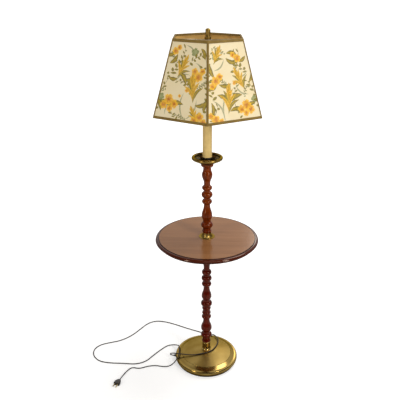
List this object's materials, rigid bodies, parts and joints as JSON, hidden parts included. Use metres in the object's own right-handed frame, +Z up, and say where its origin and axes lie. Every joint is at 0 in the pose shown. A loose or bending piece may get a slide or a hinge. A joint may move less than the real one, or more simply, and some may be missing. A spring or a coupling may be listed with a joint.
{
  "type": "floor lamp with table",
  "caption": "Floor lamp with a weighted brass base, turned wooden column through a round table, candle sleeve, harp and six-sided floral shade, with its mains lead",
  "frame": {"origin": "on the floor at the centre of the round base", "axes": "+Z up along the column, -Y towards the front corner of the shade, the lead leaves the base towards -X"},
  "size_m": [0.6919, 0.4783, 1.3569],
  "materials": {
    "felt": "matte",
    "cast_iron": "rough",
    "aged_brass": "polished with an olive lacquer",
    "zinc_steel": "plain",
    "turned_wood": "gloss lacquer, dark red",
    "table_wood": "satin lacquer, red brown",
    "black_ring": "gloss",
    "candle_cream": "matte",
    "nickel": "plain",
    "insulating_card": "matte",
    "black_moulding": "plain",
    "bulb_glass": "frosted",
    "bulb_cap": "plain",
    "printed_panel": "matte, printed with flowers",
    "olive_tape": "matte",
    "frame_wire": "plain",
    "cord_brown": "satin",
    "plug_brown": "satin",
    "blade_brass": "plain"
  },
  "bodies": {
    "lamp": {"felt_pad": "felt", "base_weight": "cast_iron", "base_shell": "aged_brass", "base_neck": "aged_brass", "centre_rod": "zinc_steel", "foot_washer": "zinc_steel", "foot_nut": "zinc_steel", "lower_column": "turned_wood", "table_plate": "zinc_steel", "table_screws": "zinc_steel", "table_top": "table_wood", "table_collar": "aged_brass", "upper_column": "turned_wood", "pan_cup": "aged_brass", "drip_pan": "aged_brass", "candle_seat": "aged_brass", "candle_ring": "black_ring", "candle_sleeve": "candle_cream", "sleeve_cap": "aged_brass", "harp_saddle": "nickel", "socket_cap": "aged_brass", "socket_shell": "aged_brass", "socket_liner": "insulating_card", "socket_body": "black_moulding", "socket_screw_shell": "bulb_cap", "lamp_wire": "cord_brown", "bulb_cap": "bulb_cap", "bulb_glass": "bulb_glass", "harp_wire": "nickel", "harp_stud": "aged_brass", "cord_bushing": "black_moulding", "cord": "cord_brown", "plug_body": "plug_brown", "plug_blades": "blade_brass"},
    "shade": {"shade_tape_top": "olive_tape", "shade_tape_bottom": "olive_tape", "shade_tape_seams": "olive_tape", "shade_ring_top": "frame_wire", "shade_ring_bottom": "frame_wire", "shade_ribs": "frame_wire", "shade_spider_washer": "frame_wire", "shade_spider_arms": "frame_wire", "shade_panel_1": "printed_panel", "shade_panel_2": "printed_panel", "shade_panel_3": "printed_panel", "shade_panel_4": "printed_panel", "shade_panel_5": "printed_panel", "shade_panel_6": "printed_panel"},
    "finial": {"finial": "aged_brass"},
    "switch_key": {"switch_key": "black_moulding"},
    "ferrule_left": {"harp_ferrule_left": "nickel"},
    "ferrule_right": {"harp_ferrule_right": "nickel"}
  },
  "joints": [
    {"name": "shade_swivel", "type": "hinge", "parent": "lamp", "child": "shade", "pos_m": [0, 0, 1.3191], "axis": [0, 0, 1], "continuous": true},
    {"name": "finial_turn", "type": "hinge", "parent": "lamp", "child": "finial", "pos_m": [0, 0, 1.341], "axis": [0, 0, 1], "continuous": true},
    {"name": "switch_turn", "type": "hinge", "parent": "lamp", "child": "switch_key", "pos_m": [0, -0.02, 1.0866], "axis": [0, -1, 0], "continuous": true},
    {"name": "ferrule_slide_left", "type": "slide", "parent": "lamp", "child": "ferrule_left", "axis": [0, 0, 1], "range_m": [0, 0.014]},
    {"name": "ferrule_slide_right", "type": "slide", "parent": "lamp", "child": "ferrule_right", "axis": [0, 0, 1], "range_m": [0, 0.014]}
  ]
}
